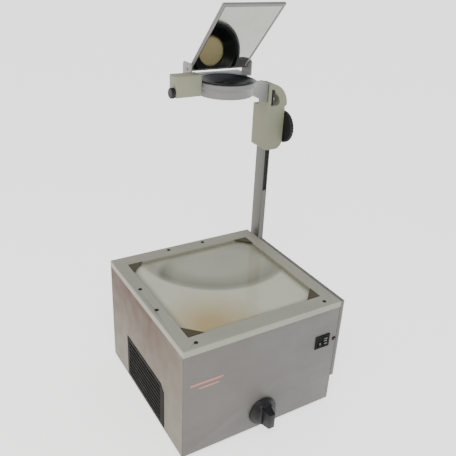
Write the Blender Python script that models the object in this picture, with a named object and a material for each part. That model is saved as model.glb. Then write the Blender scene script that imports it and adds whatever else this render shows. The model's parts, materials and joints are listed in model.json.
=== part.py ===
"""Overhead projector: a sheet-metal lamp house with a hinged stage lid, a mast and a tilting mirror.

Lengths below are millimetres in the housing frame: the origin is the centre of the housing's
bottom edge, +X is right along the front, +Y is to the rear and +Z is up.
"""

import math

import bmesh
import bpy
from mathutils import Matrix, Vector

MM = 0.001
GAP = 0.3

# Lamp house
HALF = 175.0
LID_BOTTOM = 235.0
HEIGHT = 249.0
SHEET = 1.5
PANEL_TOP = LID_BOTTOM - GAP
FOOT_HEIGHT = 6.0
FOOT_AT = 148.0

# Stage
OPENING_X = 148.0
OPENING_Y = 141.0
GLASS_TOP = HEIGHT - 2.0
GLASS_THICK = 4.0
FRESNEL_THICK = 2.7
BRACKET_LEG = 32.0
STAGE_SCREWS = ((-163, -40), (-163, 40), (-143, -161), (143, -161), (-43, 162), (43, 162))
HINGE_Y = HALF + 5.5
HINGE_Z = LID_BOTTOM

# Front controls
KNOB_X, KNOB_Z = 3.0, 40.0
SWITCH_LOW, SWITCH_HIGH = (121.0, 148.0), (156.0, 178.0)
PILOT_X, PILOT_Z = 169.0, 160.0

# Lamp changer
LAMP_SPACING = 44.0
LAMP_Z = 85.0
LAMP_MODULE = 1.5
LAMP_PINION_TEETH = 20
LAMP_PITCH_R = LAMP_MODULE * LAMP_PINION_TEETH / 2
TRAY_Y = (34.0, 67.0)

# Fan
FAN_X, FAN_Z = -70.0, 78.0
FAN_HALF = 60.0
FAN_BORE_R = 56.0

# Mast and focus drive
MAST_X = (185.0, 199.0)
MAST_Y = (142.0, 176.0)
MAST_Z = (30.0, 603.0)
RACK_Z = (361.0, 598.0)
FOCUS_MODULE = 1.0
FOCUS_TEETH = 8
FOCUS_PITCH_R = FOCUS_MODULE * FOCUS_TEETH / 2
FOCUS_Y, FOCUS_Z = 139.8, 511.0
CARRIAGE_X = (178.0, 223.5)
CARRIAGE_Y = (133.3, 190.0)
CARRIAGE_Z = (462.0, 558.0)
ARCH_R = 48.5
ARCH_X, ARCH_Z = 180.0, 562.0
FOCUS_KNOB_R = 35.5
FOCUS_KNOB_X = (224.0, 233.0)

# Head
RING_R = 49.0
FLANGE_R = 54.0
RING_Z = (637.0, 654.0, 661.0)
HEAD = (-10.0, 0.0)
BARREL_R = 43.7
LENS_R = 26.0
MIRROR_Y, MIRROR_Z = 26.4, 677.3
MIRROR_LEAN = math.radians(42.8)
MIRROR_HALF = 57.5
MIRROR_ENDS = (-5.0, 158.7)

# The root stands the feet on z = 0 and centres the outer box on x = y = 0.
BOX_X = (-HALF - 1.0, FOCUS_KNOB_X[1])
BOX_Y = (-212.0, CARRIAGE_Y[1])
ROOT = Vector((-sum(BOX_X) / 2, -sum(BOX_Y) / 2, FOOT_HEIGHT))


def clear_scene():
    for old in list(bpy.data.objects):
        bpy.data.objects.remove(old)


def material(name, colour, roughness=0.6, metallic=0.0, alpha=1.0):
    made = bpy.data.materials.new(name)
    made.use_nodes = True
    shader = made.node_tree.nodes["Principled BSDF"]
    shader.inputs["Base Color"].default_value = (*colour, 1.0)
    shader.inputs["Roughness"].default_value = roughness
    shader.inputs["Metallic"].default_value = metallic
    shader.inputs["Alpha"].default_value = alpha
    return made


def empty(name, place, parent=None, turn=0.0):
    """An empty at a point of the housing frame, or of its parent's frame; turn is about X."""
    made = bpy.data.objects.new(name, None)
    bpy.context.scene.collection.objects.link(made)
    made.location = Vector(place) * MM
    made.rotation_euler = (turn, 0, 0)
    made.parent = parent
    return made


def pivot(name, place, turn=0.0):
    """A joint's empty. Pieces under it are drawn in the housing frame unless it is turned."""
    made = empty(name, place, HOUSING, turn)
    made["place"] = (0.0, 0.0, 0.0) if turn else tuple(float(v) for v in place)
    return made


def piece(name, shape, finish, parent=None):
    """Makes a node from a bmesh drawn in millimetres."""
    parent = parent or HOUSING
    shift = Vector(parent.get("place", (0, 0, 0)))
    bmesh.ops.recalc_face_normals(shape, faces=shape.faces)
    shape.transform(Matrix.Scale(MM, 4) @ Matrix.Translation(-shift))
    mesh = bpy.data.meshes.new(name)
    shape.to_mesh(mesh)
    shape.free()
    mesh.shade_smooth()
    mesh.set_sharp_from_angle(angle=math.radians(35))
    made = bpy.data.objects.new(name, mesh)
    bpy.context.scene.collection.objects.link(made)
    made.parent = parent
    if finish:
        mesh.materials.append(finish)
    return made


def combine(target, shape, operation):
    tool = piece(f"{target.name}_tool", shape, None, target.parent)
    tool.hide_render = True
    tool.display_type = "WIRE"
    change = target.modifiers.new(operation.lower(), "BOOLEAN")
    change.operation = operation
    change.object = tool
    return target


def cut(target, *shapes):
    for shape in shapes:
        combine(target, shape, "DIFFERENCE")
    return target


def join(target, *shapes):
    for shape in shapes:
        combine(target, shape, "UNION")
    return target


def soften(target, width):
    """A small bevel on sharp edges."""
    change = target.modifiers.new("edges", "BEVEL")
    change.width = width * MM
    change.segments = 2
    change.limit_method = "ANGLE"
    change.angle_limit = math.radians(50)
    return target


def box(low, high):
    shape = bmesh.new()
    bmesh.ops.create_cube(shape, size=1.0)
    size = Vector(high) - Vector(low)
    middle = (Vector(high) + Vector(low)) / 2
    shape.transform(Matrix.Translation(middle) @ Matrix.Diagonal((*size, 1.0)))
    return shape


def spread(axis, a, b, along):
    """A point from its two coordinates across an axis and the one along it."""
    return {"X": (along, a, b), "Y": (a, along, b), "Z": (a, b, along)}[axis]


def prism(outline, axis, start, end):
    """Extrudes an outline, whose points are the other two coordinates in X, Y, Z order."""
    shape = bmesh.new()
    corners = [shape.verts.new(spread(axis, a, b, start)) for a, b in outline]
    face = shape.faces.new(corners)
    grown = bmesh.ops.extrude_face_region(shape, geom=[face])["geom"]
    moved = [v for v in grown if isinstance(v, bmesh.types.BMVert)]
    bmesh.ops.translate(shape, verts=moved, vec=spread(axis, 0, 0, end - start))
    return shape


def arc(centre, radius, first, last, steps):
    """Points on an arc, with angles in degrees."""
    angles = [math.radians(first + (last - first) * i / steps) for i in range(steps + 1)]
    return [(centre[0] + radius * math.cos(t), centre[1] + radius * math.sin(t)) for t in angles]


def disc(axis, centre, radius, start, end, steps=32):
    return prism(arc(centre, radius, 0, 360 - 360 / steps, steps - 1), axis, start, end)


def turned(profile, axis, centre, steps=40):
    """Turns a closed profile of (radius, along) points about an axis; radius 0 closes an end."""
    shape = bmesh.new()
    rings = []
    for radius, along in profile:
        if radius == 0:
            rings.append([shape.verts.new(spread(axis, *centre, along))])
            continue
        points = arc(centre, radius, 0, 360 - 360 / steps, steps - 1)
        rings.append([shape.verts.new(spread(axis, a, b, along)) for a, b in points])
    for lower, upper in zip(rings, rings[1:] + rings[:1]):
        for i in range(steps):
            j = (i + 1) % steps
            corners = [lower[i % len(lower)], lower[j % len(lower)]]
            corners += [upper[j % len(upper)], upper[i % len(upper)]]
            corners = list(dict.fromkeys(corners))
            if len(corners) > 2:
                shape.faces.new(corners)
    return shape


def gear_outline(centre, module, teeth, phase):
    """A pinion's outline with slim teeth; phase is the angle of its first tooth in degrees."""
    pitch = module * teeth / 2
    base = pitch * math.cos(math.radians(20))
    half_angle = math.degrees(0.42 * math.pi * module / 2 / pitch)
    radii = (pitch - 1.15 * module, pitch - 0.4 * module, pitch, pitch + 0.45 * module, pitch + 0.85 * module)

    def half_width(radius):
        def involute(r):
            lean = math.acos(min(1.0, base / r))
            return math.tan(lean) - lean

        return half_angle + math.degrees(involute(pitch) - involute(max(radius, base)))

    outline = []
    for tooth in range(teeth):
        middle = phase + 360 * tooth / teeth
        sides = [(r, middle - half_width(r)) for r in radii]
        sides += [(r, middle + half_width(r)) for r in reversed(radii)]
        for radius, angle in sides:
            turn = math.radians(angle)
            outline.append((centre[0] + radius * math.cos(turn), centre[1] + radius * math.sin(turn)))
    return outline


def rack_teeth(first, count, module, pitch_line, back, away):
    """(along, across) points of a rack whose teeth centre on first + n pitches.

    away is the sign of the direction that the teeth point in, across the rack."""
    pitch = math.pi * module
    slope = math.tan(math.radians(20))
    tip = pitch_line + away * 0.85 * module
    root = pitch_line - away * 1.15 * module
    half = 0.42 * pitch / 2
    points = [(first - pitch / 2, back)]
    for n in range(count):
        middle = first + n * pitch
        points.append((middle - half - 1.15 * module * slope, root))
        points.append((middle - half + 0.85 * module * slope, tip))
        points.append((middle + half - 0.85 * module * slope, tip))
        points.append((middle + half + 1.15 * module * slope, root))
    points.append((first + (count - 0.5) * pitch, back))
    return points


def tray(low, high, wall):
    shape = box(low, high)
    shape.faces.ensure_lookup_table()
    top = max(shape.faces, key=lambda face: face.calc_center_median().z)
    bmesh.ops.inset_region(shape, faces=[top], thickness=wall)
    floor = bmesh.ops.extrude_discrete_faces(shape, faces=[top])["faces"][0]
    bmesh.ops.translate(shape, verts=floor.verts, vec=(0, 0, low[2] + wall - high[2]))
    return shape


def housing():
    edge = HALF - SHEET
    inner = edge - GAP
    back_of_return = inner - SHEET
    pan_x = back_of_return - GAP
    piece("base_pan", tray((-pan_x, -inner, 0), (pan_x, inner, 14), SHEET), PAINT)
    for name, side in (("front_panel", -1), ("rear_panel", 1)):
        half = [(HALF, HALF), (HALF, edge), (inner, edge)]
        half += [(inner, 158), (back_of_return, 158), (back_of_return, edge)]
        outline = [(x, side * y) for x, y in half] + [(-x, side * y) for x, y in reversed(half)]
        piece(name, prism(outline, "Z", 0, PANEL_TOP), PAINT)
    for name, side in (("left_panel", -1), ("right_panel", 1)):
        low, high = sorted((side * HALF, side * edge))
        piece(name, box((low, -inner, 0), (high, inner, PANEL_TOP)), PAINT)
    for name, x, y in (
        ("foot_front_left", -1, -1),
        ("foot_front_right", 1, -1),
        ("foot_rear_left", -1, 1),
        ("foot_rear_right", 1, 1),
    ):
        profile = [(0, -FOOT_HEIGHT), (10, -FOOT_HEIGHT), (12, -GAP), (0, -GAP)]
        piece(name, turned(profile, "Z", (x * FOOT_AT, y * FOOT_AT), 24), RUBBER)
    low, high = Vector((HALF + GAP, -HALF, 60)), Vector((HALF + 9, 126, 248))
    cover = piece("side_cover", box(low, high), PAINT)
    wall = Vector((SHEET, SHEET, SHEET))
    cut(cover, box(low + wall - Vector((5, 0, 0)), high - wall))


def intake_grille():
    low, high, corner = (-96, 5), (88, 108), 14

    def outline(grow):
        return [
            (low[0] - grow, low[1] - grow),
            (high[0] + grow, low[1] - grow),
            (high[0] + grow, high[1] + grow),
            (low[0] + corner, high[1] + grow),
            (low[0] - grow, high[1] - corner),
        ]

    cut(bpy.data.objects["left_panel"], prism(outline(0), "X", -HALF - 5, -HALF + 5))
    grille = piece("intake_grille", prism(outline(-GAP), "X", -HALF - 1, -HALF + 2), DARK)
    slots = [box((-HALF - 2, -80, z), (-HALF + 4, 78, z + 5)) for z in range(14, 100, 10)]
    cut(grille, *slots)


def exhaust_side():
    """The exhaust slots in the rear panel, the fan behind them, and the mains inlet."""
    rear = bpy.data.objects["rear_panel"]
    slot_pitch = 11
    for step in range(-4, 5):
        x = FAN_X + step * slot_pitch
        reach = math.sqrt((FAN_BORE_R - 2) ** 2 - (abs(step) * slot_pitch + 3) ** 2)
        cut(rear, box((x - 3.5, HALF - 5, FAN_Z - reach), (x + 3.5, HALF + 5, FAN_Z + reach)))
    front, back = 130.0, 168.0
    low = (FAN_X - FAN_HALF, front, FAN_Z - FAN_HALF)
    high = (FAN_X + FAN_HALF, back, FAN_Z + FAN_HALF)
    frame = piece("fan_frame", box(low, high), DARK)
    cut(frame, disc("Y", (FAN_X, FAN_Z), FAN_BORE_R, front - 1, back + 1, 40))
    motor = [(0, front), (22, front), (22, front + 14), (4, front + 14), (4, front + 20), (0, front + 20)]
    join(frame, turned(motor, "Y", (FAN_X, FAN_Z), 24))
    for side in (-1, 1):
        inner, outer = sorted((FAN_X + side * 18, FAN_X + side * (FAN_HALF - 2)))
        join(frame, box((inner, front + 2, FAN_Z - 4), (outer, front + 8, FAN_Z + 4)))
    hub_front = front + 15
    spin = pivot("fan_axis", (FAN_X, hub_front, FAN_Z))
    hub = [(4.3, hub_front), (22, hub_front), (22, back - 2)]
    hub += [(0, back - 2), (0, hub_front + 6), (4.3, hub_front + 6)]
    impeller = piece("fan_impeller", turned(hub, "Y", (FAN_X, FAN_Z), 28), DARK, spin)
    blades = 7
    for n in range(blades):
        blade = box((18, -9, -1), (FAN_BORE_R - 2, 9, 1))
        blade.transform(Matrix.Rotation(math.radians(32), 4, "X"))
        blade.transform(Matrix.Rotation(math.tau * n / blades, 4, "Y"))
        blade.transform(Matrix.Translation((FAN_X, hub_front + 10.5, FAN_Z)))
        join(impeller, blade)
    inlet_x, inlet_z = 110.0, 60.0
    cut(rear, box((inlet_x - 14.3, HALF - 5, inlet_z - 10.3), (inlet_x + 14.3, HALF + 5, inlet_z + 10.3)))
    flange = box((inlet_x - 25, HALF + GAP, inlet_z - 14), (inlet_x + 25, HALF + 3, inlet_z + 14))
    inlet = piece("power_inlet", flange, DARK)
    join(inlet, box((inlet_x - 14, HALF - 26, inlet_z - 10), (inlet_x + 14, HALF + 1, inlet_z + 10)))
    cut(inlet, box((inlet_x - 12.2, HALF - 18, inlet_z - 8.2), (inlet_x + 12.2, HALF + 4, inlet_z + 8.2)))
    for x, z in ((-7, -1.5), (7, -1.5), (0, 2.5)):
        centre = (inlet_x + x, inlet_z + z)
        join(inlet, box((centre[0] - 1, HALF - 19, centre[1] - 2), (centre[0] + 1, HALF - 3, centre[1] + 2)))


def stage():
    lid = pivot("stage_lid_axis", (0, HINGE_Y, HINGE_Z))
    ledge_x, ledge_y = OPENING_X - 5, OPENING_Y - 7
    fresnel_bottom = GLASS_TOP - GLASS_THICK - GAP - FRESNEL_THICK
    frame = piece("stage_frame", box((-HALF, -HALF, LID_BOTTOM), (HALF, HALF, HEIGHT)), PAINT, lid)
    cut(frame, box((-ledge_x, -ledge_y, LID_BOTTOM - 5), (ledge_x, ledge_y, HEIGHT + 5)))
    rabbet = fresnel_bottom - GAP
    cut(frame, box((-OPENING_X, -OPENING_Y, rabbet), (OPENING_X, OPENING_Y, HEIGHT + 5)))
    x, y = OPENING_X - GAP, OPENING_Y - GAP
    fresnel_top = fresnel_bottom + FRESNEL_THICK
    piece("fresnel_lens", box((-x, -y, fresnel_bottom), (x, y, fresnel_top)), CLEAR, lid)
    piece("stage_glass", box((-x, -y, GLASS_TOP - GLASS_THICK), (x, y, GLASS_TOP)), CLEAR, lid)
    for name, side_x, side_y in (
        ("corner_bracket_front_left", -1, -1),
        ("corner_bracket_front_right", 1, -1),
        ("corner_bracket_rear_left", -1, 1),
        ("corner_bracket_rear_right", 1, 1),
    ):
        corner = [(x, y), (x - BRACKET_LEG, y), (x, y - BRACKET_LEG)]
        outline = [(side_x * a, side_y * b) for a, b in corner]
        piece(name, prism(outline, "Z", GLASS_TOP + GAP, HEIGHT), DARK, lid)
    for number, place in enumerate(STAGE_SCREWS, 1):
        cut(frame, disc("Z", place, 2.3, HEIGHT - 9, HEIGHT + 5, 12))
        bottom, seat = HEIGHT - 8, HEIGHT + GAP
        profile = [(0, bottom), (1.9, bottom), (1.9, seat), (4, seat), (3.2, seat + 1.6), (0, seat + 1.6)]
        piece(f"stage_screw_{number}", turned(profile, "Z", place, 12), DARK, lid)
    leaf_y = (HALF + GAP, HALF + 2.3)
    knuckle_r, pin_r = 4.0, 2.0
    axis = (HINGE_Y, HINGE_Z)
    fixed = piece("hinge_fixed_leaf", box((-60, leaf_y[0], 196), (60, leaf_y[1], 233)), STEEL)
    for start, end in ((-60, -20.3), (20.3, 60)):
        join(fixed, disc("X", axis, knuckle_r, start, end, 20))
    cut(fixed, box((-20.3, leaf_y[0] - 1, 229), (20.3, leaf_y[1] + 1, 240)))
    cut(fixed, disc("X", axis, pin_r + GAP, -61, 61, 16))
    moving = piece("hinge_moving_leaf", box((-20, leaf_y[0], 236), (20, leaf_y[1], 247)), STEEL, lid)
    join(moving, disc("X", axis, knuckle_r, -20, 20, 20))
    cut(moving, disc("X", axis, pin_r + GAP, -21, 21, 16))
    piece("hinge_pin", disc("X", axis, pin_r, -62, 62, 16), STEEL)


def switches():
    front = bpy.data.objects["front_panel"]
    (x0, z0), (x1, z1) = SWITCH_LOW, SWITCH_HIGH
    rim = 3.0
    cut(front, box((x0 + rim, -HALF - 5, z0 + rim), (x1 - rim, -HALF + 5, z1 - rim)))
    bezel = piece("switch_bezel", box((x0, -HALF - 2, z0), (x1, -HALF - GAP, z1)), BLACK)
    body = rim + GAP
    join(bezel, box((x0 + body, -HALF - 1, z0 + body), (x1 - body, -HALF + 14, z1 - body)))
    middle_x, middle_z = (x0 + x1) / 2, (z0 + z1) / 2
    half_height = 9.1
    for name, low, high in (
        ("power_rocker", x0 + 5, middle_x - 1.2),
        ("lamp_level_rocker", middle_x + 1.2, x1 - 5),
    ):
        cut(bezel, box((low, -HALF - 5, middle_z - 10.2), (high, -HALF + 20, middle_z + 10.2)))
        axis = pivot(f"{name}_axis", ((low + high) / 2, -HALF + 4, middle_z))
        lean = math.radians(-6)
        face = [(-7.2, -half_height), (-5.4, 0), (-7.2, half_height)]
        back = [(-1, half_height - 1), (5, 3), (5, -3), (-1, 1 - half_height)]
        outline = []
        for y, z in face + back:
            turned_y = y * math.cos(lean) - z * math.sin(lean)
            turned_z = y * math.sin(lean) + z * math.cos(lean)
            outline.append((-HALF + 4 + turned_y, middle_z + turned_z))
        piece(name, prism(outline, "X", low + GAP, high - GAP), BLACK, axis)
    cut(front, disc("Y", (PILOT_X, PILOT_Z), 2.3, -HALF - 5, -HALF + 5, 16))
    dome = [(0, -HALF - 2.5), (1.6, -HALF - 2.2), (2.4, -HALF - GAP)]
    lamp = dome + [(2.0, -HALF - GAP), (2.0, -HALF + 7), (0, -HALF + 7)]
    piece("pilot_lamp", turned(lamp, "Y", (PILOT_X, PILOT_Z), 16), RED)


def lamp_changer():
    front = bpy.data.objects["front_panel"]
    centre = (KNOB_X, KNOB_Z)
    shaft_r = 4.0
    cut(front, disc("Y", centre, shaft_r + 2, -HALF - 5, -HALF + 5, 20))
    turn = pivot("lamp_knob_axis", (KNOB_X, -HALF, KNOB_Z))
    face = -HALF - 1.2
    skirt = [(0, face), (30, face), (31, face - 1.5), (30, face - 5)]
    skirt += [(24, face - 5.5), (22, face - 16), (0, face - 16)]
    knob = piece("lamp_knob", turned(skirt, "Y", centre, 48), BLACK, turn)
    grip = bmesh.new()
    bmesh.ops.create_cube(grip, size=1.0)
    for corner in grip.verts:
        outer = corner.co.y < 0
        corner.co.x *= 13 if outer else 19
        corner.co.z *= 34 if outer else 42
        corner.co.y = face - 14 if not outer else BOX_Y[0]
    grip.transform(Matrix.Translation((KNOB_X, 0, KNOB_Z)))
    join(knob, grip)
    cut(knob, disc("Y", centre, shaft_r + GAP, face - 12, face + 1, 20))
    shaft = piece("lamp_shaft", disc("Y", centre, shaft_r, face - 11.5, 56, 20), STEEL, turn)
    pinion = gear_outline(centre, LAMP_MODULE, LAMP_PINION_TEETH, 90)
    join(shaft, prism(pinion, "Y", 44, 54))
    slide = pivot("lamp_tray_axis", (0, 0, LAMP_Z))
    plate_z = (KNOB_Z + LAMP_PITCH_R + 3, KNOB_Z + LAMP_PITCH_R + 6)
    carrier = piece("lamp_tray", box((-70, TRAY_Y[0], plate_z[0]), (26, TRAY_Y[1], plate_z[1])), STEEL, slide)
    pitch = math.pi * LAMP_MODULE
    start = KNOB_X - pitch * 12.5
    teeth = rack_teeth(start, 16, LAMP_MODULE, KNOB_Z + LAMP_PITCH_R, plate_z[0] + 1, -1)
    join(carrier, prism(teeth, "Y", 43, 55))
    for x in (0, -LAMP_SPACING):
        join(carrier, box((x - 10, TRAY_Y[0] + 1, plate_z[1] - 1), (x + 10, TRAY_Y[0] + 17, LAMP_Z + 9)))
    bulb_end = TRAY_Y[0] + 1 - GAP
    for name, x in (("main_lamp", 0), ("spare_lamp", -LAMP_SPACING)):
        bulb = [(0, bulb_end), (4, bulb_end), (4, 20), (6.5, 15), (6.5, -10), (4, -14), (0, -16)]
        piece(name, turned(bulb, "Y", (x, LAMP_Z), 20), CLEAR, slide)
    rail = piece("lamp_rail", box((-100, 62, SHEET + GAP), (100, 72, 70)), STEEL)
    cut(rail, box((-101, 61, plate_z[0] - GAP), (101, TRAY_Y[1] + GAP, plate_z[1] + GAP)))


def optics():
    """The bridge that holds the reflector under the lamp and the condenser over it."""
    bridge = piece("optics_bridge", box((-46, -48, 118), (46, 84, 120)), STEEL)
    join(bridge, box((-46, -48, SHEET + GAP), (46, -46, 119)), box((-46, 82, SHEET + GAP), (46, 84, 119)))
    cut(bridge, disc("Z", (0, 0), 32, 110, 130, 40))
    cut(bridge, disc("Y", (KNOB_X, KNOB_Z), 6, -60, -40, 16))
    inner_r, outer_r = 34, 36
    leans = [math.radians(10 * step) for step in range(1, 7)]
    dish = [(0, LAMP_Z - inner_r)] + [(inner_r * math.sin(t), LAMP_Z - inner_r * math.cos(t)) for t in leans]
    dish += [(outer_r * math.sin(t), LAMP_Z - outer_r * math.cos(t)) for t in reversed(leans)]
    reflector = piece("reflector", turned(dish + [(0, LAMP_Z - outer_r)], "Z", (0, 0), 32), MIRROR)
    join(reflector, box((-5, -46 + GAP, 62), (5, -26.5, 65)))
    lens = [(0, 120.3), (38, 120.3), (38, 123), (34, 128), (24, 134), (12, 137), (0, 138)]
    piece("condenser_lens", turned(lens, "Z", (0, 0), 36), CLEAR)
    core = piece("transformer", box((75, -120, SHEET + GAP), (145, -40, 60)), DARK)
    join(core, box((87, -132, 14), (133, -28, 50)))


def mast():
    x0, x1 = MAST_X
    y0, y1 = MAST_Y
    bracket = piece("mast_bracket", box((HALF + GAP, 136, 40), (x1 + 5, 182, 205)), PAINT)
    cut(bracket, box((x0 - GAP, y0 - GAP, 30), (x1 + GAP, y1 + GAP, 220)))
    post = piece("mast_post", box((x0, y0, MAST_Z[0]), (x1, y1, MAST_Z[1])), ALUMINIUM)
    wall = 2.0
    cut(post, box((x0 + wall, y0 + 8, MAST_Z[0] - 5), (x1 - wall, y1 - wall, MAST_Z[1] + 5)))
    cut(post, box((x0 + wall, y0 - 5, RACK_Z[0] - GAP), (x1 - wall, y0 + 5.3, MAST_Z[1] + 5)))
    pitch = math.pi * FOCUS_MODULE
    half_count = int((FOCUS_Z - RACK_Z[0]) / pitch)
    first = FOCUS_Z - half_count * pitch
    count = int((RACK_Z[1] - first) / pitch)
    teeth = rack_teeth(first, count, FOCUS_MODULE, FOCUS_Y + FOCUS_PITCH_R, y0 + 5, -1)
    outline = [(across, along) for along, across in teeth]
    piece("mast_rack", prism(outline, "X", x0 + wall + GAP, x1 - wall - GAP), BLACK)
    cap = box((x0, y0, MAST_Z[1] + GAP), (x1, y1, MAST_Z[1] + 4))
    soften(piece("mast_cap", cap, BLACK), 1)


def carriage():
    slide = pivot("focus_axis", (0, 0, FOCUS_Z))
    (x0, x1), (y0, y1), (z0, z1) = CARRIAGE_X, CARRIAGE_Y, CARRIAGE_Z
    body = [(x0 + 5, z0), *arc((x1 - 20, z0 + 20), 20, -90, 0, 6), (x1, z1), (x0, z1), (x0, z0 + 5)]
    block = piece("carriage_housing", prism(body, "Y", y0, y1), CAST, slide)
    plate_back = MAST_Y[0] - 0.6
    right = ARCH_X + ARCH_R
    crown = arc((ARCH_X, ARCH_Z), ARCH_R, 0, 90, 12)
    foot = [(x1, z1 - 2), (x1, z1), (right, z1 + 3)]
    arch = [(x0, z1 - 2), *foot, *crown, (x0, ARCH_Z + ARCH_R)]
    join(block, prism(arch, "Y", y0, plate_back))
    side = MAST_X[1] + 0.6
    lip = [(side, z1 - 2), *foot, *[point for point in crown if point[0] > side]]
    lip += [(side, ARCH_Z + math.sqrt(ARCH_R**2 - (side - ARCH_X) ** 2))]
    join(block, prism(lip, "Y", plate_back - 2, y0 + 22))
    join(block, box((x0, y0, z1 - 2), (MAST_X[0] - 0.6, 171, ARCH_Z + ARCH_R)))
    slot = [(187, 562), (204, 562), (208, 566)]
    slot += [*arc((ARCH_X + 4, ARCH_Z + 5), 25, 10, 60, 5), (193, 597), (187, 597)]
    cut(block, prism(slot, "Y", y0 - 5, y1 + 5))
    room = 0.4
    low = (MAST_X[0] - room, MAST_Y[0] - room, z0 - 5)
    cut(block, box(low, (MAST_X[1] + room, MAST_Y[1] + room, z1 + 0.1)))
    axis = (FOCUS_Y, FOCUS_Z)
    cut(block, disc("X", axis, 5.5, 186.8, 197.2, 20))
    shaft_r = 1.7
    cut(block, disc("X", axis, shaft_r + GAP, 182, x1 + 5, 16))
    turn = pivot("focus_knob_axis", (FOCUS_KNOB_X[0], FOCUS_Y, FOCUS_Z))
    shaft = piece("focus_shaft", disc("X", axis, shaft_r, 182.4, FOCUS_KNOB_X[1] - 3, 16), STEEL, turn)
    outline = gear_outline(axis, FOCUS_MODULE, FOCUS_TEETH, 360 / FOCUS_TEETH / 2)
    join(shaft, prism(outline, "X", 187.8, 196.2))
    k0, k1 = FOCUS_KNOB_X
    r = FOCUS_KNOB_R
    rim = [(0, k0), (r - 1.5, k0), (r, k0 + 1.5), (r, k1 - 2), (r - 2, k1), (0, k1)]
    knob = piece("focus_knob", turned(rim, "X", axis, 48), BLACK, turn)
    cut(knob, disc("X", axis, shaft_r + GAP, k0 - 1, k1 - 2, 16))


def head():
    slide = bpy.data.objects["focus_axis"]
    z0, z1, z2 = RING_Z
    bore = BARREL_R + GAP
    ring = [(bore, z0), (RING_R, z0), (RING_R + 1, z1 - 3), (FLANGE_R, z1), (FLANGE_R, z2), (bore, z2)]
    arm = piece("head_arm", turned(ring, "Z", HEAD, 64), CAST, slide)
    end_x = CARRIAGE_X[0] - GAP
    beam = bmesh.new()
    near = ((31, 6), (20, 40))
    far = ((end_x, 136), (end_x, 165))
    heights = ((z0 + 1, z1 - 1), (CARRIAGE_Z[1] + 12, ARCH_Z + ARCH_R))
    rows = []
    for sides, (low, high) in zip((near, far), heights):
        rows.append([beam.verts.new((*sides[i], z)) for i, z in ((0, low), (1, low), (1, high), (0, high))])
    for i in range(4):
        j = (i + 1) % 4
        beam.faces.new((rows[0][i], rows[0][j], rows[1][j], rows[1][i]))
    beam.faces.new(rows[0])
    beam.faces.new(rows[1])
    join(arm, beam)
    cut(arm, disc("Z", HEAD, bore, z0 - 20, z2 + 20, 64))
    top = z2 + GAP
    lens_top = 651.2
    throat = LENS_R + GAP
    outside = [(throat, z0 + 2), (BARREL_R, z0 + 2), (BARREL_R, top), (49, top), (49, top + 1.7)]
    barrel = outside + [(41.5, top + 1.7), (throat, lens_top + 0.5)]
    piece("lens_barrel", turned(barrel, "Z", HEAD, 48), BLACK, slide)
    upper = [(0, lens_top - 8), (LENS_R, lens_top - 5), (LENS_R, lens_top - 3)]
    upper += [(17, lens_top - 0.9), (0, lens_top)]
    lower = [(0, z0 + 2.5), (LENS_R, z0 + 2.5), (LENS_R, z0 + 4), (17, z0 + 5.2), (0, z0 + 5.6)]
    piece("upper_lens", turned(upper, "Z", HEAD, 40), CLEAR, slide)
    piece("lower_lens", turned(lower, "Z", HEAD, 40), CLEAR, slide)
    left = -113.0
    grip = piece("head_grip", box((left, -15, 640), (HEAD[0] - FLANGE_R - 0.6, 11, 676)), CAST, slide)
    soften(grip, 1.5)
    centre = (-8, 648)
    cut(grip, disc("X", centre, 3.3, left - 1, left + 20, 16))
    turn = pivot("grip_screw_axis", (left, *centre))
    screw = [(0, -8), (8, -8), (9, -7), (9, -1.5), (8, -0.5), (3, -0.5), (3, 18), (0, 18)]
    screw = [(radius, left + along) for radius, along in screw]
    piece("grip_screw", turned(screw, "X", centre, 20), BLACK, turn)
    ear_x = (MIRROR_HALF + 2, MIRROR_HALF + 4)
    low = (HEAD[0] - ear_x[1], 12, top)
    bracket = piece("mirror_bracket", box(low, (HEAD[0] + ear_x[1], 60, top + 2)), STEEL, slide)
    cut(bracket, disc("Z", HEAD, 50, top - 5, top + 10, 48))
    for side in (-1, 1):
        low, high = sorted((HEAD[0] + side * ear_x[0], HEAD[0] + side * ear_x[1]))
        shoulder, crest = MIRROR_Z + 8, MIRROR_Z + 12
        profile = [(12, top), (44, top), (44, shoulder), (40, crest), (16, crest), (12, shoulder)]
        join(bracket, prism(profile, "X", low, high))
    pin_r = 2.5
    pin_from, pin_to = HEAD[0] - ear_x[1] - 1, HEAD[0] + ear_x[1] + 1
    cut(bracket, disc("X", (MIRROR_Y, MIRROR_Z), pin_r + GAP, pin_from - 5, pin_to + 5, 16))
    tilt = pivot("mirror_axis", (HEAD[0], MIRROR_Y, MIRROR_Z), MIRROR_LEAN)
    w = MIRROR_HALF
    bottom, end = MIRROR_ENDS
    frame = piece("mirror_frame", box((-w, -1, bottom), (w, 4, end)), STEEL, tilt)
    rim = 4.5
    cut(frame, box((-w + rim, -3, bottom + rim), (w - rim, 1.5, end - rim)))
    for side in (-1, 1):
        start, stop = sorted((side * (w - rim + GAP), side * (ear_x[1] + 1)))
        join(frame, disc("X", (0, 0), pin_r, start, stop, 16))
    glass = box((-w + rim + GAP, -0.8, bottom + rim + GAP), (w - rim - GAP, 1.2, end - rim - GAP))
    piece("mirror_glass", glass, MIRROR, tilt)


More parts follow.
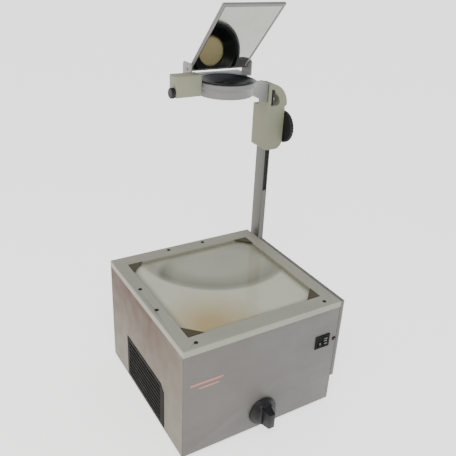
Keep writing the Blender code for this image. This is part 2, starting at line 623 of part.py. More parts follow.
clear_scene()
PAINT = material("grey_enamel", (0.27, 0.27, 0.25), 0.55)
CAST = material("cast_enamel", (0.31, 0.32, 0.24), 0.5)
ALUMINIUM = material("mast_aluminium", (0.4, 0.4, 0.38), 0.4, 0.8)
STEEL = material("plated_steel", (0.5, 0.5, 0.48), 0.35, 1.0)
DARK = material("dark_grille", (0.04, 0.035, 0.025), 0.6)
BLACK = material("black_plastic", (0.015, 0.015, 0.017), 0.4)
RUBBER = material("black_rubber", (0.02, 0.02, 0.02), 0.9)
CLEAR = material("clear_glass", (0.85, 0.86, 0.8), 0.05, 0.0, 0.35)
MIRROR = material("silvered_glass", (0.9, 0.9, 0.88), 0.03, 1.0)
RED = material("red_lens", (0.3, 0.02, 0.02), 0.3)
HOUSING = bpy.data.objects.new("housing_frame", None)
bpy.context.scene.collection.objects.link(HOUSING)
HOUSING.location = ROOT * MM
housing()
intake_grille()
exhaust_side()
stage()
switches()
lamp_changer()
optics()
mast()
carriage()
head()
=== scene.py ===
"""The looks of the overhead projector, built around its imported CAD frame."""

import json
import math

import bmesh
import bpy
from mathutils import Matrix, Vector


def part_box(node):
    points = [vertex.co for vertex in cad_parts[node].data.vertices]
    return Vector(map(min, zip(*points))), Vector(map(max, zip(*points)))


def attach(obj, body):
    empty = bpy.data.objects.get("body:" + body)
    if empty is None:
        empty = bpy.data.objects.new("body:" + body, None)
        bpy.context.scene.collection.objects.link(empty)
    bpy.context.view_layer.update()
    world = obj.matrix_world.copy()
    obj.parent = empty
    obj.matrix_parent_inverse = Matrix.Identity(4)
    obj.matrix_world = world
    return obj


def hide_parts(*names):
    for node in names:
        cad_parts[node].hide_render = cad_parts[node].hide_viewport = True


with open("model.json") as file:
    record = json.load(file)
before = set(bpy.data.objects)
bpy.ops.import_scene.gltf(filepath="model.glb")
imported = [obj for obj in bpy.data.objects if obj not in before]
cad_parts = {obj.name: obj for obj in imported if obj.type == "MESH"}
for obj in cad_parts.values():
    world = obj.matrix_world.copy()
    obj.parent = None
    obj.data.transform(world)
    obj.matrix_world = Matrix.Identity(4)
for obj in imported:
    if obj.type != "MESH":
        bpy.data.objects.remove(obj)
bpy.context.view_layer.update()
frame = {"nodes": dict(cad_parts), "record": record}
NODES = frame["nodes"]
RECORD = frame["record"]
BODY_OF = {node: body for body, members in RECORD["behaviour"]["bodies"].items() for node in members}
MM = 0.001

# The housing frame: x and y are 0 at the middle of the lamp house and z is 0 at its bottom edge.
BASE_LOW, BASE_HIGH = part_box("front_panel")
REAR_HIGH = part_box("rear_panel")[1]
ORIGIN = Vector(((BASE_LOW.x + BASE_HIGH.x) / 2, (BASE_LOW.y + REAR_HIGH.y) / 2, BASE_LOW.z))


def at(x, y, z):
    """A point of the housing frame in millimetres, as a point of the row frame in metres."""
    return ORIGIN + Vector((x, y, z)) * MM


# ---------------------------------------------------------------- materials


def node_of(tree, kind, **settings):
    """Adds a shader node and sets its own options, such as an operation."""
    made = tree.nodes.new(kind)
    for name, value in settings.items():
        setattr(made, name, value)
    return made


def new_material(name):
    """A material, its node tree and its principled shader."""
    made = bpy.data.materials.new(name)
    made.use_nodes = True
    tree = made.node_tree
    return made, tree, tree.nodes["Principled BSDF"]


def noise(tree, scale, detail=3.0, stretch=(1, 1, 1), rough=0.55):
    """Noise in object space, in features per metre; stretch scales it along each axis."""
    mapping = node_of(tree, "ShaderNodeMapping")
    mapping.inputs["Scale"].default_value = stretch
    tree.links.new(object_place(tree), mapping.inputs["Vector"])
    made = node_of(tree, "ShaderNodeTexNoise")
    made.inputs["Scale"].default_value = scale
    made.inputs["Detail"].default_value = detail
    made.inputs["Roughness"].default_value = rough
    tree.links.new(mapping.outputs["Vector"], made.inputs["Vector"])
    return made.outputs["Fac"]


def ramp(tree, source, stops):
    """Turns a value into a colour; stops are (position, colour) pairs."""
    made = node_of(tree, "ShaderNodeValToRGB")
    elements = made.color_ramp.elements
    while len(elements) < len(stops):
        elements.new(0.5)
    for element, (position, colour) in zip(elements, stops):
        element.position = position
        element.color = (*colour, 1.0)
    tree.links.new(source, made.inputs["Fac"])
    return made.outputs["Color"]


def greys(*stops):
    """Stops of a ramp in plain greys, from (position, brightness) pairs."""
    return [(position, (brightness, brightness, brightness)) for position, brightness in stops]


def object_place(tree):
    """The point being shaded, in the row frame, as a socket."""
    return node_of(tree, "ShaderNodeTexCoord").outputs["Object"]


def spread(tree, source, low, high, new_low, new_high):
    """Maps the range low to high onto new_low to new_high, and holds it there outside."""
    made = node_of(tree, "ShaderNodeMapRange")
    limits = {"From Min": low, "From Max": high, "To Min": new_low, "To Max": new_high}
    for name, value in limits.items():
        made.inputs[name].default_value = value
    tree.links.new(source, made.inputs["Value"])
    return made.outputs["Result"]


# A Mix node's sockets by number, because its number, vector and colour sockets share their names.
MIX_FACTOR, FIRST_COLOUR, SECOND_COLOUR, MIXED_COLOUR = 0, 6, 7, 2


def mixed(tree, factor, first, second, blend="MIX"):
    """Mixes two colours, each a socket or an (r, g, b); factor is a socket or a float."""
    made = node_of(tree, "ShaderNodeMix", data_type="RGBA", blend_type=blend)
    for value, socket in ((first, FIRST_COLOUR), (second, SECOND_COLOUR)):
        if isinstance(value, tuple):
            made.inputs[socket].default_value = (*value, 1.0)
        else:
            tree.links.new(value, made.inputs[socket])
    if isinstance(factor, float):
        made.inputs[MIX_FACTOR].default_value = factor
    else:
        tree.links.new(factor, made.inputs[MIX_FACTOR])
    return made.outputs[MIXED_COLOUR]


def bump(tree, height, strength, distance, under=None):
    """A normal socket; under is the normal of a coarser bump below this one."""
    made = node_of(tree, "ShaderNodeBump")
    made.inputs["Strength"].default_value = strength
    made.inputs["Distance"].default_value = distance
    tree.links.new(height, made.inputs["Height"])
    if under:
        tree.links.new(under, made.inputs["Normal"])
    return made.outputs["Normal"]


# How strongly a painted or moulded surface mirrors the room.
SHEEN = 0.3


def scaled(colour, factor):
    return tuple(channel * factor for channel in colour)


def blotched(tree, colour, scale, detail, darkest, palest):
    """A colour that drifts between darkest and palest times itself."""
    stops = [(0.3, scaled(colour, darkest)), (0.7, scaled(colour, palest))]
    return ramp(tree, noise(tree, scale, detail), stops)


def painted(
    name,
    colour,
    roughness=0.5,
    grain=900,
    grain_depth=0.00004,
    metallic=0.0,
    blotch=0.08,
    coat=0.0,
    ripple=0.0,
    sheen=SHEEN,
):
    """Enamel, cast or moulded surface: fine grain, slow blotches of tone, and worn patches of gloss.

    grain is in specks per metre, and grain_depth is in metres. ripple is the height in metres of the slow waves
    that thin sheet metal has."""
    made, tree, shader = new_material(name)
    tone = blotched(tree, colour, 9, 5, 1 - blotch, 1 + blotch)
    speck = ramp(tree, noise(tree, grain, 2), greys((0.35, 0.88), (0.6, 1.0)))
    tree.links.new(mixed(tree, 0.6, tone, speck, "MULTIPLY"), shader.inputs["Base Color"])
    gloss = spread(tree, noise(tree, 30, 4), 0.3, 0.7, roughness - 0.07, roughness + 0.07)
    tree.links.new(gloss, shader.inputs["Roughness"])
    shader.inputs["Metallic"].default_value = metallic
    shader.inputs["Coat Weight"].default_value = coat
    shader.inputs["Specular IOR Level"].default_value = sheen
    waves = bump(tree, noise(tree, 7, 2, (0.35, 0.35, 2.2)), 1.0, ripple) if ripple else None
    tree.links.new(bump(tree, noise(tree, grain, 2), 0.5, grain_depth, waves), shader.inputs["Normal"])
    return made


def brushed(name, colour, roughness=0.35, along="Z", metallic=1.0):
    """Metal with fine drawn lines along one axis."""
    made, tree, shader = new_material(name)
    stretch = tuple(0.02 if axis == along else 1.0 for axis in "XYZ")
    lines = noise(tree, 1500, 3, stretch)
    tone = ramp(tree, lines, [(0.3, scaled(colour, 0.88)), (0.7, scaled(colour, 1.08))])
    tree.links.new(tone, shader.inputs["Base Color"])
    tree.links.new(spread(tree, lines, 0.3, 0.7, roughness - 0.06, roughness + 0.1), shader.inputs["Roughness"])
    shader.inputs["Metallic"].default_value = metallic
    tree.links.new(bump(tree, lines, 0.3, 0.00003), shader.inputs["Normal"])
    return made


def clear(name, colour, alpha, roughness=0.04):
    """Glass with its surface gloss; the lower alpha is, the more shows through it."""
    made, tree, shader = new_material(name)
    tone = blotched(tree, colour, 14, 3, 0.96, 1.0)
    tree.links.new(tone, shader.inputs["Base Color"])
    shader.inputs["Alpha"].default_value = alpha
    smear = spread(tree, noise(tree, 22, 5), 0.4, 0.7, roughness, roughness + 0.05)
    tree.links.new(smear, shader.inputs["Roughness"])
    return made


ENAMEL = painted("housing_enamel", (0.122, 0.118, 0.110), 0.42, ripple=0.003)
LID_ENAMEL = painted("lid_enamel", (0.27, 0.275, 0.225), 0.42)
CAST = painted("cast_enamel", (0.205, 0.215, 0.150), 0.5, 600, 0.00008)
RING = painted("ring_enamel", (0.150, 0.152, 0.150), 0.38, 700)
# A paler copy of the ring enamel for the mirror bracket: painted light, so that its shaded inner face looks
# lit.
RING_ENAMEL_PAINTED_LIT = painted("bracket_enamel_painted_lit", (0.24, 0.25, 0.255), 0.4, 700)
GRILLE = painted("grille_plastic", (0.004, 0.004, 0.003), 0.75, 1400, sheen=0.2)
BLACK = painted("black_plastic", (0.005, 0.005, 0.007), 0.45, 1600)
SWITCH_BLACK = painted("switch_plastic", (0.003, 0.003, 0.003), 0.55, 1500, sheen=0.08)
LENS_BLACK = painted("lens_black", (0.003, 0.006, 0.008), 0.35, 1200, coat=0.1)
OLIVE = painted("olive_plastic", (0.050, 0.043, 0.020), 0.5, 1200)
RUBBER = painted("rubber", (0.02, 0.02, 0.02), 0.85, 500)
FAN = painted("fan_plastic", (0.03, 0.03, 0.03), 0.5)
IRON = painted("varnished_iron", (0.10, 0.07, 0.05), 0.45, 300)
FADED_RED = painted("faded_red_print", (0.36, 0.16, 0.14), 0.5, 500, blotch=0.3)
PALE_PRINT = painted("pale_print", (0.17, 0.17, 0.155), 0.5, 900)
PILOT = painted("pilot_red", (0.05, 0.004, 0.003), 0.2, 900, 0.00001, coat=0.6)
MAST = brushed("mast_metal", (0.112, 0.118, 0.105), 0.45, "Z", 0.2)
STEEL = brushed("plated_steel", (0.42, 0.42, 0.41), 0.3, "X")
FRAME_METAL = brushed("mirror_frame_metal", (0.16, 0.16, 0.155), 0.4, "Z", 0.3)
SCREW = painted("blackened_screw", (0.03, 0.028, 0.024), 0.4, 900, metallic=0.6)
GLASS = clear("stage_glass", (0.30, 0.33, 0.25), 0.07)
LENS = clear("lens_glass", (1.0, 0.84, 0.50), 0.85, 0.02)
LAMP = clear("lamp_glass", (0.9, 0.9, 0.88), 0.4, 0.03)


def silver():
    """Front-silvered mirror glass, a little dulled and smeared."""
    made, tree, shader = new_material("silvered")
    tone = ramp(tree, noise(tree, 12, 3), [(0.3, (0.31, 0.32, 0.285)), (0.7, (0.37, 0.38, 0.34))])
    tree.links.new(tone, shader.inputs["Base Color"])
    tree.links.new(spread(tree, noise(tree, 25, 4), 0.3, 0.7, 0.03, 0.10), shader.inputs["Roughness"])
    shader.inputs["Metallic"].default_value = 1.0
    return made


def distance_from(tree, centre):
    made = node_of(tree, "ShaderNodeVectorMath", operation="DISTANCE")
    tree.links.new(object_place(tree), made.inputs[0])
    made.inputs[1].default_value = centre
    return made.outputs["Value"]


def combined(tree, operation, first, second):
    """Joins two sockets with an operation such as MINIMUM or MULTIPLY."""
    made = node_of(tree, "ShaderNodeMath", operation=operation)
    tree.links.new(first, made.inputs[0])
    tree.links.new(second, made.inputs[1])
    return made.outputs[0]


def axes_of(tree, vector):
    """The X, Y and Z of a vector socket, as sockets."""
    made = node_of(tree, "ShaderNodeSeparateXYZ")
    tree.links.new(vector, made.inputs[0])
    return made.outputs


def fresnel_plastic():
    """Grooved clear acrylic over a dark chamber: cream, with the lens-shaped shade that its rings gather."""
    made, tree, shader = new_material("fresnel_acrylic")
    # The height of the acrylic's face in the housing frame, in millimetres.
    level = 247
    rings = node_of(tree, "ShaderNodeTexWave", wave_type="RINGS", rings_direction="Z", wave_profile="SAW")
    rings.inputs["Scale"].default_value = 120
    centred = node_of(tree, "ShaderNodeVectorMath", operation="SUBTRACT")
    centred.inputs[1].default_value = at(0, 0, 0)
    tree.links.new(object_place(tree), centred.inputs[0])
    tree.links.new(centred.outputs[0], rings.inputs["Vector"])

    # The shade is a round pool towards the rear, deepest along a second circle nearer the middle.
    pool = spread(tree, distance_from(tree, at(55, 134, level)), 0.179, 0.049, 0.0, 1.0)
    pool = ramp(tree, pool, greys((0.0, 0.0), (0.07, 0.8), (0.16, 1.0), (0.5, 0.55)))
    circle = spread(tree, distance_from(tree, at(25, 12, level)), 0.11, 0.17, 0.0, 1.0)
    circle = ramp(tree, circle, greys((0.0, 0.75), (0.5, 1.0), (0.75, 0.6)))
    shade = mixed(tree, 1.0, pool, circle, "MULTIPLY")

    # A painted warm reflection tints the front left of the acrylic mustard.
    painted_warm_reflection = spread(tree, distance_from(tree, at(-90, -120, level)), 0.02, 0.12, 1.0, 0.0)
    tone = mixed(tree, painted_warm_reflection, (0.56, 0.565, 0.46), (0.40, 0.30, 0.13))
    tone = mixed(tree, shade, tone, (0.090, 0.090, 0.064))

    # A grey border follows the four edges; half is the distance in metres from the middle to an edge.
    sides = axes_of(tree, centred.outputs[0])
    margins = []
    for axis, half in (("X", 0.148), ("Y", 0.141)):
        size = node_of(tree, "ShaderNodeMath", operation="ABSOLUTE")
        tree.links.new(sides[axis], size.inputs[0])
        margins.append(spread(tree, size.outputs[0], half, half - 0.05, 0.0, 1.0))
    border = ramp(tree, combined(tree, "MINIMUM", *margins), greys((0.0, 1.0), (0.10, 0.7), (0.3, 0.0)))
    tone = mixed(tree, border, tone, (0.20, 0.205, 0.145))

    cloud = ramp(tree, noise(tree, 11, 4), greys((0.3, 0.93), (0.7, 1.04)))
    tree.links.new(mixed(tree, 1.0, tone, cloud, "MULTIPLY"), shader.inputs["Base Color"])
    shader.inputs["Roughness"].default_value = 0.4
    shader.inputs["Specular IOR Level"].default_value = 0.1
    shader.inputs["Coat Weight"].default_value = 0.6
    shader.inputs["Coat Roughness"].default_value = 0.07
    tree.links.new(bump(tree, rings.outputs["Fac"], 0.35, 0.0002), shader.inputs["Normal"])
    return made


def painted_warm_shade_enamel():
    """The left panel's enamel, with a painted warm shade that darkens and browns it towards its top and its
    rear.
    """
    made, tree, shader = new_material("enamel_with_painted_warm_shade")
    sides = axes_of(tree, object_place(tree))
    upward = spread(tree, sides["Z"], at(0, 0, 60).z, at(0, 0, 225).z, 0.0, 1.0)
    rearward = spread(tree, sides["Y"], at(0, -165, 0).y, at(0, -40, 0).y, 0.35, 1.0)
    # Painted warm shade, strongest at the top and towards the rear.
    painted_shade = combined(tree, "MULTIPLY", upward, rearward)
    tone = mixed(tree, painted_shade, (0.160, 0.150, 0.112), (0.066, 0.026, 0.006))
    cloud = ramp(tree, noise(tree, 9, 5), greys((0.3, 0.92), (0.7, 1.06)))
    tree.links.new(mixed(tree, 1.0, tone, cloud, "MULTIPLY"), shader.inputs["Base Color"])
    tree.links.new(spread(tree, noise(tree, 30, 4), 0.3, 0.7, 0.38, 0.52), shader.inputs["Roughness"])
    shader.inputs["Specular IOR Level"].default_value = 0.2
    tree.links.new(bump(tree, noise(tree, 900, 2), 0.5, 0.00004), shader.inputs["Normal"])
    return made


SILVER = silver()
PAINTED_WARM_SHADE = painted_warm_shade_enamel()
FRESNEL = fresnel_plastic()


# ------------------------------------------------------------------- pieces


def dress(node, finish):
    """Gives a CAD node its one material."""
    NODES[node].data.materials.clear()
    NODES[node].data.materials.append(finish)


for node in NODES:
    dress(node, ENAMEL)

# The nodes that have a finish of their own; the rest keep the housing's enamel.
DRESSED = {
    PAINTED_WARM_SHADE: ["left_panel"],
    LID_ENAMEL: ["stage_frame"],
    CAST: ["carriage_housing", "head_grip"],
    RING: ["head_arm"],
    RING_ENAMEL_PAINTED_LIT: ["mirror_bracket"],
    GRILLE: ["intake_grille"],
    SWITCH_BLACK: ["switch_bezel", "power_rocker", "lamp_level_rocker"],
    BLACK: ["lamp_knob", "focus_knob", "grip_screw"],
    FAN: ["fan_frame", "fan_impeller", "power_inlet", "mast_rack", "mast_cap"],
    OLIVE: [node for node in NODES if node.startswith("corner_bracket")],
    SCREW: [node for node in NODES if node.startswith("stage_screw")],
    RUBBER: [node for node in NODES if node.startswith("foot")],
    LENS_BLACK: ["lens_barrel"],
    IRON: ["transformer"],
    MAST: ["mast_post"],
    STEEL: [
        "hinge_fixed_leaf",
        "hinge_moving_leaf",
        "hinge_pin",
        "lamp_shaft",
        "lamp_tray",
        "lamp_rail",
        "optics_bridge",
        "focus_shaft",
    ],
    FRAME_METAL: ["mirror_frame"],
    FRESNEL: ["fresnel_lens"],
    GLASS: ["stage_glass"],
    LENS: ["upper_lens", "lower_lens", "condenser_lens"],
    LAMP: ["main_lamp", "spare_lamp"],
    SILVER: ["mirror_glass", "reflector"],
    PILOT: ["pilot_lamp"],
}
for finish, members in DRESSED.items():
    for node in members:
        dress(node, finish)


# ---------------------------------------------------------- finer geometry


def cad_copy(node, whole_faces=True):
    """A CAD node's shape as a bmesh, of whole faces instead of triangles unless it has framed openings."""
    shape = bmesh.new()
    shape.from_mesh(NODES[node].data)
    bmesh.ops.remove_doubles(shape, verts=shape.verts, dist=1e-6)
    if whole_faces:
        bmesh.ops.dissolve_limit(shape, angle_limit=math.radians(1), verts=shape.verts, edges=shape.edges)
    return shape


def show(name, shape, finish, body, smooth_under=32):
    """Makes a visible piece from a bmesh in the row frame, with soft shading across gentle edges."""
    mesh = bpy.data.meshes.new(name)
    shape.to_mesh(mesh)
    shape.free()
    mesh.materials.append(finish)
    mesh.shade_smooth()
    mesh.set_sharp_from_angle(angle=math.radians(smooth_under))
    made = bpy.data.objects.new(name, mesh)
    bpy.context.scene.collection.objects.link(made)
    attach(made, body)
    return made


def stand_in(node, shape, smooth_under=32):
    """Shows shape in place of a CAD node, with the node's finish and body."""
    finish = NODES[node].data.materials[0]
    made = show(f"{node}_finished", shape, finish, BODY_OF[node], smooth_under)
    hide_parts(node)
    return made


def upright(edge):
    """True for an edge that runs up and down."""
    return abs(edge.verts[0].co.z - edge.verts[1].co.z) > 0.9 * edge.calc_length()


def round_edges(shape, width, longer_than=6.0, sharper_than=40, segments=3, wanted=lambda edge: True):
    """Rounds the long outer edges; width and longer_than are in millimetres."""
    bent = [
        edge
        for edge in shape.edges
        if len(edge.link_faces) == 2
        and edge.calc_face_angle_signed() > math.radians(sharper_than)
        and edge.calc_length() > longer_than * MM
        and wanted(edge)
    ]
    bmesh.ops.bevel(shape, geom=bent, offset=width * MM, segments=segments, profile=0.5, affect="EDGES")
    return shape


# Each node's rounding, its shortest rounded edge in millimetres, and the gentlest bend it rounds in degrees.
for node, width, longer_than, sharper_than in (
    ("side_cover", 1.2, 60, 40),
    ("carriage_housing", 1.5, 9, 50),
    ("lamp_knob", 0.8, 5, 40),
    ("mast_post", 1.0, 100, 40),
    ("mast_bracket", 0.8, 12, 40),
    ("mirror_bracket", 0.4, 8, 40),
):
    stand_in(node, round_edges(cad_copy(node), width, longer_than, sharper_than))
for node in ("head_arm", "grip_screw", "intake_grille", "head_grip"):
    stand_in(node, cad_copy(node))
stand_in("mirror_frame", round_edges(cad_copy("mirror_frame", whole_faces=False), 0.7, 40))
for node in ("front_panel", "rear_panel"):
    stand_in(node, round_edges(cad_copy(node), 1.6, 200, wanted=upright))
LID_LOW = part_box("stage_frame")[0]


def not_under(edge):
    """False for the lid's lower edges, which stay sharp so that no dark seam shows above the panels."""
    return max(vert.co.z for vert in edge.verts) > LID_LOW.z + MM


stand_in("stage_frame", round_edges(cad_copy("stage_frame"), 1.6, 60, wanted=not_under))


def turned(profile, centre, steps, axis="Z"):
    """Turns a closed profile about an axis; its points are (radius, along), in the housing's millimetres."""
    shape = bmesh.new()
    rings = []
    for radius, along in profile:
        ring = []
        # A point on the axis needs only one vertex.
        for step in range(steps if radius else 1):
            angle = math.tau * step / steps
            a, b = centre[0] + radius * math.cos(angle), centre[1] + radius * math.sin(angle)
            place = {"X": (along, a, b), "Y": (a, along, b), "Z": (a, b, along)}[axis]
            ring.append(shape.verts.new(at(*place)))
        rings.append(ring)
    for lower, upper in zip(rings, rings[1:] + rings[:1]):
        for step in range(steps):
            following = (step + 1) % steps
            corners = [lower[step % len(lower)], lower[following % len(lower)]]
            corners += [upper[following % len(upper)], upper[step % len(upper)]]
            corners = list(dict.fromkeys(corners))
            if len(corners) > 2:
                shape.faces.new(corners)
    bmesh.ops.recalc_face_normals(shape, faces=shape.faces)
    return shape


def housing_box(node):
    """A CAD node's box in millimetres of the housing frame."""
    low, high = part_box(node)
    return (low - ORIGIN) / MM, (high - ORIGIN) / MM


def dome(radius, rise, level, steps=10):
    """Points of a shallow spherical cap, from its rim to its top."""
    sphere = (radius**2 + rise**2) / (2 * rise)
    lean = math.asin(radius / sphere)
    angles = [lean * (1 - step / steps) for step in range(steps + 1)]
    return [(sphere * math.sin(t) if t else 0, level - sphere * (1 - math.cos(t))) for t in angles]


def middle_of(low, high):
    """The middle of a box as (x, y, z), from its two corners."""
    return tuple((a + b) / 2 for a, b in zip(low, high))


def lens_parts():
    """The black barrel with its stepped funnel, and the domed glass in its throat."""
    low, high = housing_box("lens_barrel")
    centre = middle_of(low, high)[:2]
    # The radii of the lip, the tube below it, the funnel's mouth and the throat round the glass.
    lip = (high.x - low.x) / 2
    tube, mouth = 43.7, 41.5
    glass_low, glass_high = housing_box("upper_lens")
    glass_radius = (glass_high.x - glass_low.x) / 2
    throat = glass_radius + 0.3
    # The levels of the lip's underside, the funnel's first step and its floor.
    lip_under, funnel_top, floor = high.z - 1.7, high.z - 0.8, glass_high.z + 0.6
    profile = [(throat, low.z), (tube, low.z), (tube, lip_under), (lip, lip_under), (lip, high.z - 0.6)]
    profile += [(lip - 0.6, high.z), (mouth + 0.8, high.z), (mouth, funnel_top)]
    steps = 7
    for step in range(1, steps + 1):
        radius = mouth + (throat - mouth) * step / steps
        level = funnel_top + (floor - funnel_top) * step / steps
        previous = mouth + (throat - mouth) * (step - 0.35) / steps
        profile += [(previous, level + 0.25), (radius, level)]
    stand_in("lens_barrel", turned(profile, centre, 96))
    rim, edge = glass_low.z + 3, 1.5
    crown = dome(glass_radius, glass_high.z - rim - edge, glass_high.z)
    stand_in("upper_lens", turned([(0, glass_low.z), (glass_radius, rim), *crown], centre, 64), 60)


lens_parts()


def focus_knob():
    """The knob with a fluted rim and a dished face."""
    low, high = housing_box("focus_knob")
    _, centre_y, centre_z = middle_of(low, high)
    radius, width = (high.y - low.y) / 2, high.x - low.x
    flutes, flute_depth, steps = 30, 1.1, 240
    # Each row is its distance in from the rim and its distance along the axis, from the back to the face.
    rows = [(4, 0), (1.6, 0), (0.5, 0.7), (0, 1.6), (0, width - 2.2), (0.6, width - 1.2), (2.2, width - 0.4)]
    rows += [(8, width), (13, width), (15, width - 1.6), (20, width - 2.2)]
    shape = bmesh.new()
    rings = []
    for inset, along in rows:
        ring = []
        for step in range(steps):
            angle = math.tau * step / steps
            on_rim = inset < 8
            groove = flute_depth * max(0.0, math.cos(flutes * angle)) ** 2 if on_rim else 0.0
            reach = radius - inset - groove
            y, z = centre_y + reach * math.cos(angle), centre_z + reach * math.sin(angle)
            ring.append(shape.verts.new(at(low.x + along, y, z)))
        rings.append(ring)
    for lower, upper in zip(rings, rings[1:]):
        for step in range(steps):
            following = (step + 1) % steps
            shape.faces.new((lower[step], lower[following], upper[following], upper[step]))
    shape.faces.new(rings[0])
    shape.faces.new(rings[-1])
    bmesh.ops.recalc_face_normals(shape, faces=shape.faces)
    stand_in("focus_knob", shape, 50)


focus_knob()


def block(low, high):
    """A bmesh box between two corners in millimetres of the housing frame."""
    shape = bmesh.new()
    bmesh.ops.create_cube(shape, size=1)
    size = Vector(high) - Vector(low)
    middle = (Vector(high) + Vector(low)) / 2
    for vert in shape.verts:
        vert.co = at(*(middle + Vector([vert.co[i] * size[i] for i in range(3)])))
    return shape


def carve(shape, cutter):
    """Cuts one bmesh from another with an exact Boolean."""
    holders = []
    for name, part in (("carved", shape), ("cutter", cutter)):
        mesh = bpy.data.meshes.new(name)
        part.to_mesh(mesh)
        part.free()
        holder = bpy.data.objects.new(name, mesh)
        bpy.context.scene.collection.objects.link(holder)
        holders.append(holder)
    modifier = holders[0].modifiers.new("cut", "BOOLEAN")
    modifier.operation = "DIFFERENCE"
    modifier.solver = "EXACT"
    modifier.object = holders[1]
    graph = bpy.context.evaluated_depsgraph_get()
    made = bmesh.new()
    made.from_mesh(holders[0].evaluated_get(graph).to_mesh())
    for holder in holders:
        bpy.data.objects.remove(holder)
    return made


def add_shape(whole, part):
    """Adds one bmesh to another and frees it."""
    mesh = bpy.data.meshes.new("part")
    part.to_mesh(mesh)
    part.free()
    whole.from_mesh(mesh)
    bpy.data.meshes.remove(mesh)


def screw_heads():
    """Round heads with a cross recess, in place of the plain CAD screws."""
    shank, head_height, rise = 1.9, 1.6, 1.25
    # The cross is two slots, each as deep as depth and twice as wide as half.
    half, depth = 0.42, 0.9
    for node in DRESSED[SCREW]:
        low, high = housing_box(node)
        x, y, _ = middle_of(low, high)
        radius = (high.x - low.x) / 2
        seat = high.z - head_height
        profile = [(0, low.z), (shank, low.z), (shank, seat), (radius, seat), (radius, seat + 0.3)]
        head = turned(profile + dome(radius - 0.2, rise, high.z, 5), (x, y), 32)
        reach = radius * 0.62
        for across, along in ((reach, half), (half, reach)):
            slot = block((x - across, y - along, high.z - depth), (x + across, y + along, high.z + 1))
            head = carve(head, slot)
        stand_in(node, head)


screw_heads()


def panel_screws():
    """Domed screws in the rear panel, the hinge, the side cover and the mast bracket."""
    rear = housing_box("rear_panel")[1].y
    leaf = housing_box("hinge_fixed_leaf")[0].y + 2
    side = housing_box("side_cover")[1].x
    bracket = housing_box("mast_bracket")[1].x
    groups = {
        "rear_screws": ("Y", rear, 3.6, [(x, z) for x in (-163, 0, 163) for z in (16, 190)], SCREW),
        "hinge_screws": ("Y", leaf, 3.0, [(x, 207) for x in (-48, -16, 16, 48)], STEEL),
        "side_screws": ("X", side, 3.6, [(y, z) for y in (-166, 117) for z in (70, 238)], SCREW),
        "bracket_screws": ("X", bracket, 3.6, [(159, z) for z in (60, 122, 185)], SCREW),
    }
    for name, (axis, face, radius, places, finish) in groups.items():
        shape = bmesh.new()
        for place in places:
            cap = [(r, face - 0.1 + rise) for r, rise in dome(radius, 1.5, 1.5, 5)]
            add_shape(shape, turned([(0, face - 0.2), (radius, face - 0.2), *cap], place, 24, axis))
        show(name, shape, finish, "lamp_house")


panel_screws()


def switch_marks():
    """Softened rockers with raised pale bars: one upright for power, three level for the lamp's brightness."""
    # Each bar is left, low, right and high, as fractions of its rocker's box.
    bars = {"power_rocker": [(0.42, 0.12, 0.58, 0.40)]}
    bars["lamp_level_rocker"] = [(0.15, z, 0.85, z + 0.09) for z in (0.12, 0.45, 0.78)]
    # A rocker's face is deepest at its waist, this far behind its two ends.
    hollow, half_height = 1.35, 9
    for node, places in bars.items():
        stand_in(node, round_edges(cad_copy(node), 0.5, 3, 20))
        low, high = housing_box(node)
        size = high - low
        waist = middle_of(low, high)[2]
        shape = bmesh.new()
        for x0, z0, x1, z1 in places:
            left, right = low.x + x0 * size.x, low.x + x1 * size.x
            bottom, top = low.z + z0 * size.z, low.z + z1 * size.z
            away = min(1, abs((bottom + top) / 2 - waist) / half_height)
            face = low.y + hollow * (1 - away)
            add_shape(shape, block((left, face - 0.15, bottom), (right, face + 1.5, top)))
        show(f"{node}_marks", shape, PALE_PRINT, BODY_OF[node])


switch_marks()


def pilot_collar():
    """A black collar round the pilot lamp."""
    low, high = housing_box("pilot_lamp")
    x, _, z = middle_of(low, high)
    face = housing_box("front_panel")[0].y
    inner, outer = (high.x - low.x) / 2 + 0.1, 4.3
    seat, shoulder, throat, front = face - 0.1, face - 0.9, face - 1.0, face - 1.3
    profile = [(inner, seat), (outer, seat), (outer, shoulder)]
    profile += [(outer - 0.5, front), (inner + 0.3, front), (inner, throat)]
    show("pilot_collar", turned(profile, (x, z), 40, "Y"), SWITCH_BLACK, "lamp_house")


pilot_collar()


def front_strip():
    """A plain faded red strip where such projectors carry a badge, with a shorter one under it."""
    face = housing_box("front_panel")[0].y
    shape = bmesh.new()
    for left, right, low, high in ((-160, -92, 164, 169), (-142, -100, 154, 157.5)):
        add_shape(shape, block((left, face - 0.3, low), (right, face - 0.02, high)))
    round_edges(shape, 0.12, 1, 40, 1)
    show("front_strip", shape, FADED_RED, "lamp_house")


front_strip()


# ------------------------------------------------------- camera and lights

# Where the camera stands, and in degrees the side and the height it looks from and its tilt.
CAMERA_AT = at(-534, -878, 884)
AZIMUTH, ELEVATION, ROLL = (math.radians(a) for a in (-31.8, 26.6, 2.9))
SENSOR_MM, LENS_MM = 36, 45.87


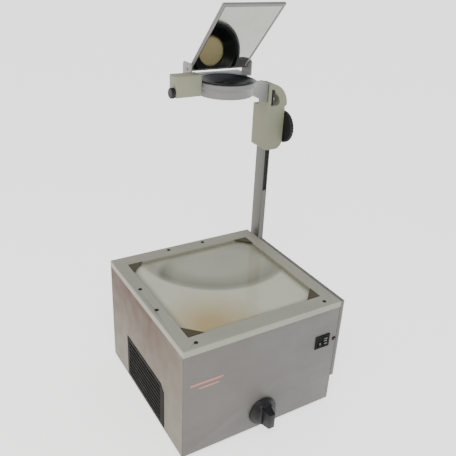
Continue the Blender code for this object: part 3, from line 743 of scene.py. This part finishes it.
def add_camera():
    """The camera, turned a little about its own line of sight."""
    level = math.cos(ELEVATION)
    back = Vector((math.sin(AZIMUTH) * level, -math.cos(AZIMUTH) * level, math.sin(ELEVATION)))
    right = Vector((0, 0, 1)).cross(back).normalized()
    up = back.cross(right)
    across = right * math.cos(ROLL) + up * math.sin(ROLL)
    upward = up * math.cos(ROLL) - right * math.sin(ROLL)
    data = bpy.data.cameras.new("camera")
    data.sensor_width = SENSOR_MM
    data.lens = LENS_MM
    made = bpy.data.objects.new("camera", data)
    bpy.context.scene.collection.objects.link(made)
    turn = Matrix((across, upward, back)).transposed().to_4x4()
    made.matrix_world = Matrix.Translation(CAMERA_AT) @ turn
    bpy.context.scene.camera = made


def area_light(name, place, target, size, power, colour):
    """A square lamp at place that faces target, both in metres."""
    data = bpy.data.lights.new(name, "AREA")
    data.size = size
    data.energy = power
    data.color = colour
    made = bpy.data.objects.new(name, data)
    bpy.context.scene.collection.objects.link(made)
    made.location = place
    made.rotation_euler = (Vector(target) - Vector(place)).to_track_quat("-Z", "Y").to_euler()


def add_floor():
    """A white sheet under the part, which glows a little so that it fades into the room."""
    bpy.ops.mesh.primitive_plane_add(size=30, location=(0, 0, 0))
    floor = bpy.context.object
    floor.name = "floor"
    made, _, shader = new_material("pale_floor")
    shader.inputs["Base Color"].default_value = (0.9, 0.9, 0.9, 1)
    shader.inputs["Roughness"].default_value = 0.9
    shader.inputs["Emission Color"].default_value = (1, 1, 1, 1)
    shader.inputs["Emission Strength"].default_value = 1.3
    floor.data.materials.append(made)


def add_light():
    """A white room that is warmer and dimmer on the left, with a soft key from the front."""
    world = bpy.data.worlds.new("studio")
    bpy.context.scene.world = world
    world.use_nodes = True
    tree = world.node_tree
    place = node_of(tree, "ShaderNodeTexCoord")
    leftward = node_of(tree, "ShaderNodeVectorMath", operation="DOT_PRODUCT")
    leftward.inputs[1].default_value = (-1, -0.15, 0)
    tree.links.new(place.outputs["Generated"], leftward.inputs[0])
    amount = spread(tree, leftward.outputs["Value"], 0.1, 0.8, 0.0, 1.0)
    tone = mixed(tree, amount, (0.95, 0.97, 1.0), (0.74, 0.60, 0.47))
    tree.links.new(tone, tree.nodes["Background"].inputs["Color"])
    tree.nodes["Background"].inputs["Strength"].default_value = 0.95
    area_light("key", (-0.9, -1.3, 1.9), (-0.1, -0.1, 0.2), 1.1, 26, (1, 1, 1))
    area_light("warm_side", (-2.2, -0.1, 0.9), (0, 0, 0.2), 1.0, 8, (1.0, 0.78, 0.58))


add_camera()
add_floor()
add_light()
